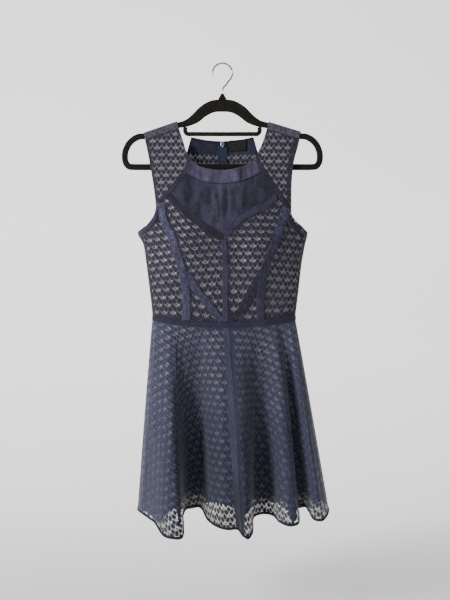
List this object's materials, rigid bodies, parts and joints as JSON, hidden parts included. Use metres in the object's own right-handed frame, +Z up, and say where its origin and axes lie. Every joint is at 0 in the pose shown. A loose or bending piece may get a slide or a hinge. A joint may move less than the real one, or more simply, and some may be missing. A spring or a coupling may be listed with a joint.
{
  "type": "a-line dress on a velvet hanger",
  "caption": "Sleeveless knee-length a-line dress in navy lace over a lining, with plain bands, round neck and back zip, hanging on a slim velvet hanger with a steel hook.",
  "frame": {"origin": "where a rail touches the inside of the hanger's hook, at its top", "axes": "+Z up, the dress's front faces -Y, +X to the right of someone who looks at the front"},
  "size_m": [0.4574, 0.2256, 1.0209],
  "materials": {
    "lace": "open corded lace, matt",
    "navy": "plain crepe, matt",
    "binding": "woven tape",
    "lining": "smooth lining",
    "tape": "woven zip tape",
    "enamel": "glossy enamel",
    "label": "woven tape, bare",
    "velvet": "flocked velvet",
    "steel": "polished"
  },
  "bodies": {
    "garment": {"strap_front_l": "lace", "strap_front_r": "lace", "bust_lace_l": "lace", "bust_lace_r": "lace", "underbust_lace_l": "lace", "underbust_lace_r": "lace", "side_lace_l": "lace", "side_lace_r": "lace", "strap_back_l": "lace", "strap_back_r": "lace", "back_lace_l": "lace", "back_lace_r": "lace", "skirt_front_l": "lace", "skirt_front_r": "lace", "skirt_back_l": "lace", "skirt_back_r": "lace", "shoulder_band_l": "navy", "shoulder_band_r": "navy", "neckband_front": "navy", "yoke_front": "navy", "waistband_front": "navy", "neckband_back_l": "navy", "neckband_back_r": "navy", "waistband_back_l": "navy", "waistband_back_r": "navy", "skirt_front_wedge": "navy", "raglan_band_l": "navy", "raglan_band_r": "navy", "v_band_l": "navy", "v_band_r": "navy", "cf_band": "navy", "princess_band_l": "navy", "princess_band_r": "navy", "underbust_band_l": "navy", "underbust_band_r": "navy", "armhole_band_l": "navy", "armhole_band_r": "navy", "hem_binding_front": "binding", "hem_binding_back": "binding", "bodice_lining_front": "lining", "bodice_lining_back_l": "lining", "bodice_lining_back_r": "lining", "skirt_lining_front": "lining", "skirt_lining_back": "lining", "zip_chain": "tape", "zip_tape_l": "tape", "zip_tape_r": "tape", "zip_slider": "enamel", "neck_label": "label", "hanger_collar": "velvet", "hanger_arch": "velvet", "hanger_end_l": "velvet", "hanger_end_r": "velvet", "hanger_bar": "velvet", "hanger_tie_bar": "velvet", "hanger_hook": "steel"},
    "zip_pull_tab": {"zip_pull": "enamel"}
  },
  "joints": [
    {"name": "zip_pull_swing", "type": "hinge", "parent": "garment", "child": "zip_pull_tab", "pos_m": [0, 0.026, -0.1725], "axis": [1, 0, 0], "range_deg": [0, 150]}
  ]
}
